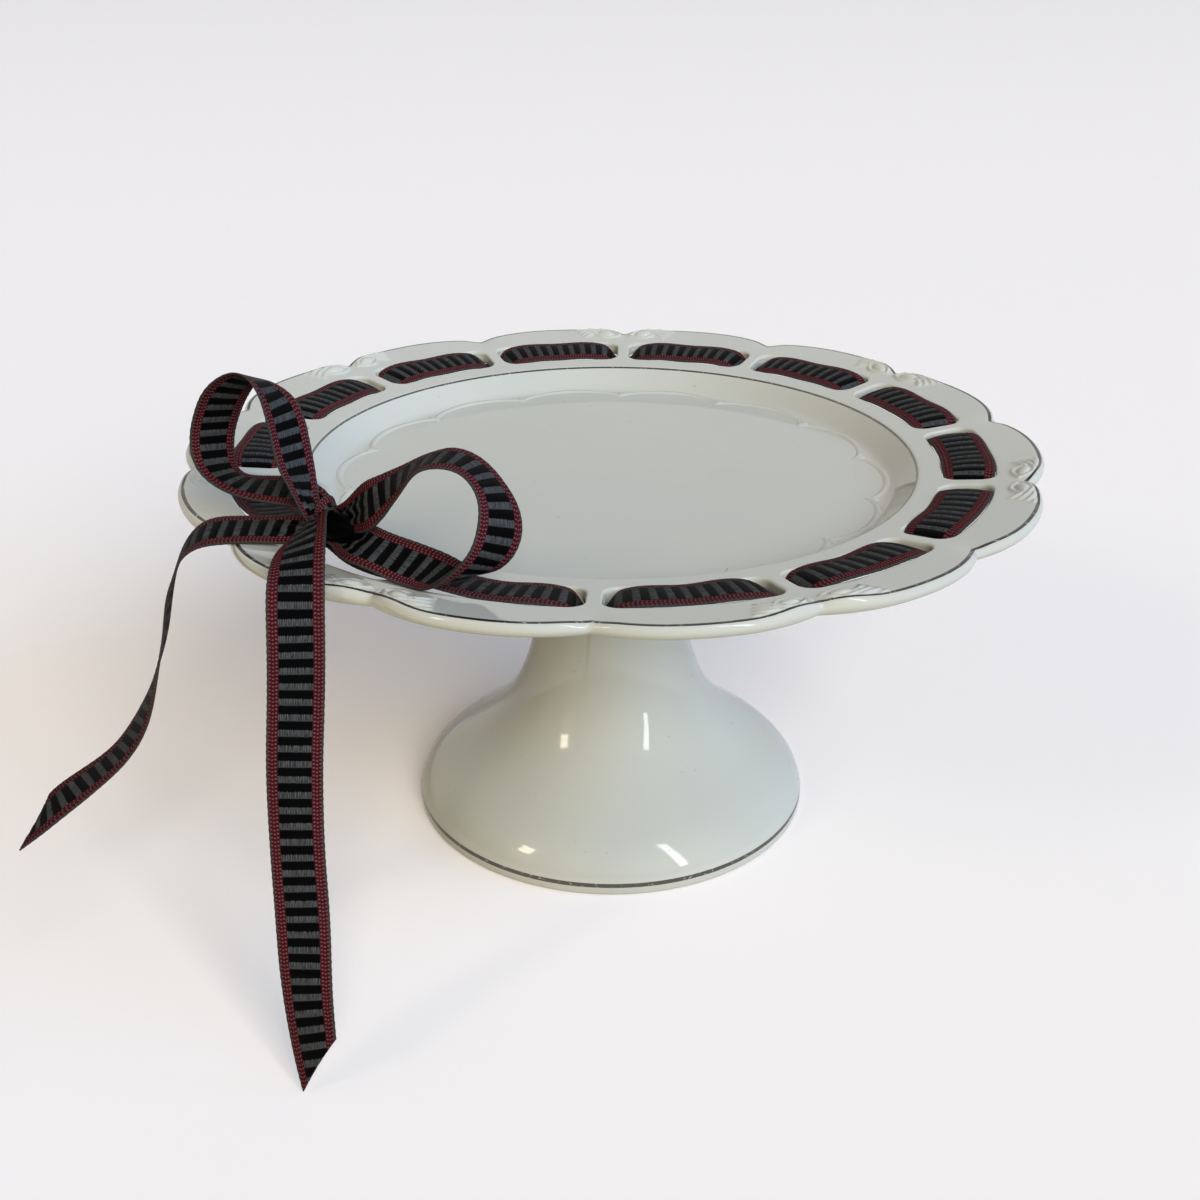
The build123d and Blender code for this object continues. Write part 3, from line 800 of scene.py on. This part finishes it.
leftLoop = bowPiece("bowLoopLeft", leftLoopRows, 21)
rightLoop = bowPiece("bowLoopRight", rightLoopRows, 22)
leftTail = bowPiece("bowTailLeft", leftTailRows, 23, bowShape["tailSlant"], bowShape["tailCrown"])
frontTail = bowPiece("bowTailFront", frontTailRows, 24, -bowShape["tailSlant"], bowShape["tailCrown"])


def knotRuns():
    # the wrap: the ribbon gathered and carried once round the bundle on an ellipse that leans along the slots
    k = knotShape
    rows = []
    for i, t in enumerate(np.linspace(*k["wrapTurns"], k["wrapSteps"])):
        grow = 1 + k["wrapGrowth"] * i / k["wrapSteps"]
        out, up = k["wrapHalf"][0] * grow * math.cos(t), k["wrapUp"] + k["wrapHalf"][1] * grow * math.sin(t)
        along = k["wrapLean"] * math.cos(t - 0.6)
        rows.append((along, out, up, 1, 0.15, 0.25 * math.cos(t), k["wrapWidth"]))
    crown, wander, pleats = bowShape["wrapFolds"]
    return [ribbonGrid(tied(rows), crown=crown, wander=wander, seed=31, gap=bowShape["gap"], pleats=pleats)]


def knotCoreAndShade():
    # a creased bundle under the wrap, longer towards the right loop: an ellipsoid whose radius swells and creases
    # with a few waves and thins out along the slots; it also fills the shaded throat of the right loop as painted shade
    k = knotShape
    p = fullTurn(k["coreGrid"][0])[:, None]
    q = np.linspace(-math.pi / 2, math.pi / 2, k["coreGrid"][1])[None, :]
    crease = 1 + (0.10 * np.sin(5 * p + 2 * np.sin(3 * q)) + 0.07 * np.sin(11 * p + 3 * q)) * np.cos(q)
    thick = crease * np.cos(q) ** 0.62 * (1 - 0.08 * np.sin(q))
    along = k["coreMiddle"][0] + k["coreHalf"][0] * np.sin(q) + 0 * p
    out = k["coreMiddle"][1] + k["coreHalf"][1] * thick * np.cos(p)
    up = k["coreMiddle"][2] + k["coreRise"] * along + k["coreHalf"][2] * thick * np.sin(p)
    axes = np.array([acrossKnot(1, 0, 0), acrossKnot(0, 1, 0), acrossKnot(0, 0, 1)])
    points = atKnot(0, 0, 0) + np.stack([along, out, up], -1) @ axes * mm
    # its cloth map keeps to the middle of the width and the black part of each repeat, so the bundle is painted black
    # as shade
    return points, np.stack([0.5 + 0.26 * np.sin(p + q), 0.74 + 0.24 * np.sin(2 * p + along / 3)], -1)


knot = ribbonPiece("bowKnot", knotRuns())
# the knot's bundle, painted black as the shade between the folds
corePoints, coreShadeUv = knotCoreAndShade()
coreAndShade = meshPiece("bowKnotCoreAndShade", corePoints, gridFaces(*corePoints.shape[:2], wrapRows=True), uv=coreShadeUv, weld=1e-7)
print("ribbon done")


class Signal:
    # an output socket: +, - and * with a number or another signal each add a math node
    def __init__(self, socket):
        self.tree, self.socket = socket.id_data, socket

    def __add__(self, other):
        return calc("ADD", self, other)

    def __sub__(self, other):
        return calc("SUBTRACT", self, other)

    def __mul__(self, other):
        return calc("MULTIPLY", self, other)


def feed(sockets, values):
    # sockets by name or number take signals, colours or numbers
    for key, value in values.items():
        if isinstance(value, Signal):
            value.tree.links.new(value.socket, sockets[key])
        else:
            sockets[key].default_value = value + (1.0,) if isinstance(value, tuple) else value


def newNode(tree, kind, inputs=(), **settings):
    # the outputs of a node with its settings made and its inputs fed, by name or in order
    node = tree.nodes.new("ShaderNode" + kind)
    for key, value in settings.items():
        setattr(node, key, value)
    feed(node.inputs, inputs if isinstance(inputs, dict) else dict(enumerate(inputs)))
    return node.outputs


def calc(operation, *values):
    # one math node over signals and numbers
    tree = next(value.tree for value in values if isinstance(value, Signal))
    return Signal(newNode(tree, "Math", values, operation=operation)[0])


def blend(share, first, second):
    # the first colour where the share is 0, the second where it is 1
    return Signal(newNode(share.tree, "Mix", {0: share, 6: first, 7: second}, data_type="RGBA")[2])


def ramp(value, low, high, outLow=0.0, outHigh=1.0):
    # a smooth step from outLow below low to outHigh above high
    inputs = (value, low, high, outLow, outHigh)
    return Signal(newNode(value.tree, "MapRange", inputs, interpolation_type="SMOOTHSTEP")[0])


def between(value, low, high, soft):
    # 1 between low and high with soft sides
    return ramp(value, low - soft, low + soft) * ramp(value, high - soft, high + soft, 1.0, 0.0)


def noise(place, scale, detail):
    # smooth noise around one half, with so many lumps to a unit
    return Signal(newNode(place.tree, "TexNoise", {"Vector": place, "Scale": scale, "Detail": detail})["Fac"])


def parts(vector):
    # the three numbers of a vector
    return [Signal(socket) for socket in newNode(vector.tree, "SeparateXYZ", [vector])]


def bump(height, distance, strength):
    # a normal tilted by the slope of the height
    inputs = {"Height": height, "Distance": distance, "Strength": strength}
    return Signal(newNode(height.tree, "Bump", inputs)[0])


def newMaterial(name):
    # an empty material, its node tree and the inputs of its shader
    material = bpy.data.materials.new(name)
    material.use_nodes = True
    return material, material.node_tree, material.node_tree.nodes["Principled BSDF"].inputs


glazeLook = {
    "plateBody": (0.485, 0.488, 0.46),
    "platePool": (0.465, 0.472, 0.45),
    # the pedestal's colours are a little darker than the plate's: painted shade for the pedestal under the plate
    "pedestalBody": (0.455, 0.46, 0.43),
    "pedestalPool": (0.44, 0.448, 0.425),
    "platinum": (0.040, 0.036, 0.040),
    "footBand": (0.11, 0.10, 0.088),
    "pinhole": (0.22, 0.2, 0.17),
    "lineStart": -0.050,      # the edge line's place on the way round the lip, 0 above and 1 below
    "lineEnd": 0.13,
    "lineSoft": 0.012,
    "wellLine": 0.1066,
    "wellLineHalf": 0.00035,
    "wellLineSoft": 0.0001,
    "wellLineShare": 0.8,
    "wellLineFrom": 0.0035,   # below the well's edge
    "band": (0.0031, 0.0047, 0.00012),    # its lower and upper height and softness
    # scale and detail of a noise, and the part of it that makes the mark
    "cloud": (14.0, 2.0, 0.35, 0.70),
    "speck": (420.0, 1.0, 0.77, 0.80),
    "wear": (900.0, 3.0, 0.30, 0.42, 0.35, 1.0),
    "ripple": (55.0, 2.0),
}


def glazeNodes():
    # glaze over porcelain: faint clouding of the colour, a slow ripple, tiny pinholes, and metal where Line is 1
    group = bpy.data.node_groups.new("glazeAndLine", "ShaderNodeTree")
    for way, sockets in (
        ("INPUT", {"Place": "Vector", "Body": "Color", "Pool": "Color", "Line": "Float", "Metal": "Color"}),
        ("OUTPUT", {"Base Color": "Color", "Roughness": "Float", "Metallic": "Float", "Height": "Float"}),
    ):
        for key, kind in sockets.items():
            group.interface.new_socket(key, in_out=way, socket_type="NodeSocket" + kind)
    given = {socket.name: Signal(socket) for socket in group.nodes.new("NodeGroupInput").outputs}

    def mark(name):
        scale, detail, *part = glazeLook[name]
        lumps = noise(given["Place"], scale, detail)
        return ramp(lumps, *part) if part else lumps

    speck, line = mark("speck"), given["Line"] * mark("wear")
    body = blend(speck * 0.25, blend(mark("cloud"), given["Body"], given["Pool"]), glazeLook["pinhole"])
    feed(group.nodes.new("NodeGroupOutput").inputs, {
        "Base Color": blend(line, body, given["Metal"]),
        "Roughness": line * 0.22 + 0.07,
        "Metallic": line * 0.85,
        "Height": mark("ripple") - speck * 0.6,
    })
    return group


glazeGroup = glazeNodes()


def glazeMaterial(name, part, metal, lineOf):
    # the shared glaze in a part's colours, with metal where lineOf gives 1
    material, tree, shader = newMaterial(name)
    place = Signal(newNode(tree, "TexCoord")["Object"])
    body, pool = glazeLook[part + "Body"], glazeLook[part + "Pool"]
    given = {"Place": place, "Body": body, "Pool": pool, "Line": lineOf(place), "Metal": glazeLook[metal]}
    out = newNode(tree, "Group", given, node_tree=glazeGroup)
    feed(shader, {key: Signal(out[key]) for key in ("Base Color", "Roughness", "Metallic")})
    feed(shader, {"Normal": bump(Signal(out["Height"]), 0.0004, 0.25), "IOR": 1.52})
    return material


def plateLines(place):
    # 1 on the lip's line, and less on a hairline round the well, which only its upper surface has
    look = glazeLook
    way = Signal(newNode(place.tree, "Attribute", attribute_name="lipWay")["Fac"])
    edge = between(way, look["lineStart"], look["lineEnd"], look["lineSoft"])
    x, y, z = parts(place)
    radius, half = calc("SQRT", x * x + y * y), look["wellLineHalf"]
    hair = between(radius, look["wellLine"] - half, look["wellLine"] + half, look["wellLineSoft"])
    above = wellEdgeHeight - look["wellLineFrom"]
    return calc("MAXIMUM", edge, hair * ramp(z, above - 0.5 * mm, above + 0.5 * mm) * look["wellLineShare"])


def footLine(place):
    # 1 in the band at the foot
    return between(parts(place)[2], *glazeLook["band"])


def noLine(place):
    # no metal anywhere
    return 0.0


plateGlaze = glazeMaterial("plateGlaze", "plate", "platinum", plateLines)
reliefGlaze = glazeMaterial("reliefGlaze", "plate", "platinum", noLine)
pedestalGlaze = glazeMaterial("pedestalGlaze", "pedestal", "footBand", footLine)

clothLook = {
    "black": (0.0016, 0.0016, 0.0020),
    "grey": (0.074, 0.078, 0.085),
    "greyDeep": (0.012, 0.012, 0.014),
    "burgundy": (0.030, 0.0032, 0.0060),
    "burgundyLight": (0.066, 0.0080, 0.0130),
    "dot": (0.25, 0.165, 0.160),
    "dotShare": 0.45,
    "selvedge": (0.040, 0.036, 0.034),
    "threads": 34,            # across the whole width
    "strands": (1.4, 1.6),    # streaks in a thread: across, and along in one repeat
    "cordEdge": (0.294, 0.302),    # share of the width from the middle, where the cords end
    "selvedgeEdge": (0.462, 0.470),
    "greyCord": (0.035, 0.465, 0.02),    # its start, end and softness in one repeat
    "ragged": 0.16,
    "dotRows": 4.0,           # in one repeat
    "dotStart": 0.275,
    "dotStep": 0.0585,
    "dotOffset": 0.18,        # of every other column along the ribbon
    "dotStretch": 3.2,
    "dotSize": (0.20, 0.46),
}


def fromNearest(value):
    # distance from the nearest whole number, with its sign
    return value - calc("ROUND", value)


def ribbonMaterial():
    # across the width: selvedge, burgundy border with rows of dots, cords, border, selvedge; along it the cords
    # change between grey and black, and fine threads run lengthwise over them
    look = clothLook
    material, tree, shader = newMaterial("wovenRibbon")
    place = Signal(newNode(tree, "UVMap", uv_map="cloth")[0])
    u, v, _ = parts(place)
    fromMid = calc("ABSOLUTE", u - 0.5)
    inCords, isEdge = ramp(fromMid, *look["cordEdge"], 1.0, 0.0), ramp(fromMid, *look["selvedgeEdge"])
    jitter = noise(place, 40.0, 1.0)

    thread = calc("SINE", u * (2 * math.pi * look["threads"]))
    streaks = (u * (look["threads"] * look["strands"][0]), v * look["strands"][1])
    strand = noise(Signal(newNode(tree, "CombineXYZ", streaks)[0]), 1.0, 1.0)
    threadShade = ramp(thread, -1.0, 0.5, 0.3, 1.0) * ramp(strand, 0.34, 0.62, 0.3, 1.0)
    grey = between(calc("FRACT", v) + ((strand - 0.5) * look["ragged"] + thread * 0.012), *look["greyCord"])
    cords = blend(grey, look["black"], blend(threadShade, look["greyDeep"], look["grey"]))

    columns = (fromMid - look["dotStart"]) * (1 / look["dotStep"])
    odd = calc("MODULO", calc("ROUND", columns), 2.0) * look["dotOffset"]
    dotU, dotV = fromNearest(columns), fromNearest(v * look["dotRows"] + odd)
    spot = calc("SQRT", dotU * dotU + dotV * dotV * look["dotStretch"])
    dot = ramp(spot, *look["dotSize"], 1.0, 0.0) * ramp(jitter, 0.25, 0.6, 0.45, 1.0)
    border = blend(ramp(jitter, 0.35, 0.65), look["burgundy"], look["burgundyLight"])
    border = blend(dot * look["dotShare"], border, look["dot"])

    feed(shader, {
        "Base Color": blend(isEdge, blend(inCords, border, cords), look["selvedge"]),
        "Normal": bump(thread * inCords * 0.35 + (dot - dot * inCords), 0.00012, 0.8),
        "Roughness": grey * 0.06 + 0.52,
        "Specular IOR Level": 0.02,
    })
    return material


wovenRibbon = ribbonMaterial()


def dress(piece, material, slotName, node=None, held=None, on=None):
    # a piece's material, the piece put under the root body and the CAD node that it takes the place of hidden;
    # slotName, held and on are not used
    piece.data.materials.append(material)
    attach(piece, "root")
    if node:
        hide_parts(node)


dress(plate, plateGlaze, "plate_glaze", "plate")
dress(shells, reliefGlaze, "plate_glaze")
dress(scallop, reliefGlaze, "plate_glaze")
dress(pedestal, pedestalGlaze, "pedestal_glaze", "pedestal")
for piece, *soft in (
    (weave, "ribbon_weave", "laid", "plate"),
    (knot, "bow_knot", "gathered", "ribbon_weave"),
    (coreAndShade, "bow_knot"),
    (leftLoop, "bow_loop_left", "folded", "bow_knot"),
    (rightLoop, "bow_loop_right", "folded", "plate"),
    (leftTail, "bow_tail_left", "draped", "plate"),
    (frontTail, "bow_tail_front", "draped", "plate"),
):
    dress(piece, wovenRibbon, "ribbon", *soft)

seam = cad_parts["slip_seam"]
seam.data.materials.clear()
seam.data.materials.append(reliefGlaze)
print("materials and cloth done")

camera = bpy.data.objects.new("camera", bpy.data.cameras.new("camera"))
scene.collection.objects.link(camera)
camera.data.lens = 45
camera.data.sensor_width = 36
camera.location = (0.0193, -0.5033, 0.3186)
camera.rotation_euler = (math.radians(64.58), 0, math.radians(2.67))
camera.data.clip_start = 0.01
scene.camera = camera

studio = {
    "aim": (0, 0, 0.08),
    "floor": {
        "half": 9,
        "level": -0.0002,
        "shown": (0.905, 0.860, 0.860),
        "glow": (0.12, 0.108, 0.112),
        "bounced": (0.42, 0.335, 0.14),
    },
    "sky": {"colour": (1.0, 0.97, 0.91), "shown": 0.86, "soft": 0.15, "front": 0.12, "back": 0.92, "turn": (-0.1, 0.6)},
    # direction towards the sun, strength, spread in degrees and colour
    "suns": {
        "keyFront": ((0.30, -0.81, 0.50), 2.65, 34, (1.0, 0.955, 0.83)),
        "coolRight": ((0.85, -0.22, 0.42), 1.9, 50, (0.34, 0.62, 1.0)),
        "warmLeft": ((-0.85, -0.35, 0.30), 0.22, 50, (1.0, 0.75, 0.30)),
    },
    # place, power, size and colour
    "windows": {
        "windowStreak": ((6.44, -6.79, 7.66), 379.0, (1.04, 11.5), (0.95, 0.98, 1.0)),
        "windowWarm": ((-7.72, -6.28, 6.84), 112.0, (1.44, 2.24), (1.0, 0.93, 0.72)),
        "windowGlow": ((-7.88, -6.60, 6.40), 38.0, (3.2, 7.2), (1.0, 0.84, 0.52)),
    },
}


def layFloor():
    # a wide paper under the object, pale to the camera and in mirrors and darker in the light that it gives back
    paint = studio["floor"]
    half, level = paint["half"], paint["level"]
    corners = np.array([(-half, -half, level), (half, -half, level), (half, half, level), (-half, half, level)])
    floor = meshPiece("studioFloor", corners, np.array([[0, 1, 2, 3]]), closed=False)
    look, tree, shader = newMaterial("floorPaper")
    rays = newNode(tree, "LightPath")
    mirror = calc("MAXIMUM", Signal(rays["Is Glossy Ray"]), Signal(rays["Is Transmission Ray"]))
    seen = calc("MAXIMUM", Signal(rays["Is Camera Ray"]), mirror)
    feed(shader, {
        "Base Color": blend(seen, paint["bounced"], paint["shown"]),
        "Emission Color": blend(seen, (0.0, 0.0, 0.0), paint["glow"]),
        "Emission Strength": 1.0,
        "Roughness": 0.85,
        "Specular IOR Level": 0.1,
    })
    floor.data.materials.append(look)
    return floor


layFloor()


def hangLamp(name, kind, place, colour, power):
    # a lamp that looks from its place at the middle of the object
    lamp = bpy.data.lights.new(name, kind)
    lamp.color, lamp.energy = colour, power
    holder = bpy.data.objects.new(name, lamp)
    holder.location = place
    aim = unit(np.array(studio["aim"]) - np.array(place))
    holder.rotation_euler = (math.acos(-aim[2]), 0, math.atan2(aim[1], aim[0]) - math.pi / 2)
    scene.collection.objects.link(holder)
    return holder


for name, (towards, strength, spread, colour) in studio["suns"].items():
    holder = hangLamp(name, "SUN", np.array(towards) * 2, colour, strength)
    holder.data.angle = math.radians(spread)
    holder.visible_glossy = False       # the glaze mirrors the windows only
for name, (place, power, size, colour) in studio["windows"].items():
    holder = hangLamp(name, "AREA", place, colour, power)
    holder.data.shape = "RECTANGLE"
    holder.data.size, holder.data.size_y = size

world = bpy.data.worlds.new("studio")
world.use_nodes = True
scene.world = world


def paintSky(tree, light):
    # the camera sees a pale backdrop, the glaze mirrors a dim room in front and the backdrop behind
    behind = parts(Signal(newNode(tree, "TexCoord")["Generated"]))[1]
    mirrored = ramp(behind, *light["turn"], light["front"], light["back"])
    rays = newNode(tree, "LightPath")
    strength = Signal(rays["Is Glossy Ray"]) * (mirrored - light["soft"]) + light["soft"]
    strength = Signal(rays["Is Camera Ray"]) * (strength * -1.0 + light["shown"]) + strength
    feed(tree.nodes["Background"].inputs, {"Color": light["colour"], "Strength": strength})


paintSky(world.node_tree, studio["sky"])

scene.view_settings.view_transform = "Standard"
print("camera and light done")
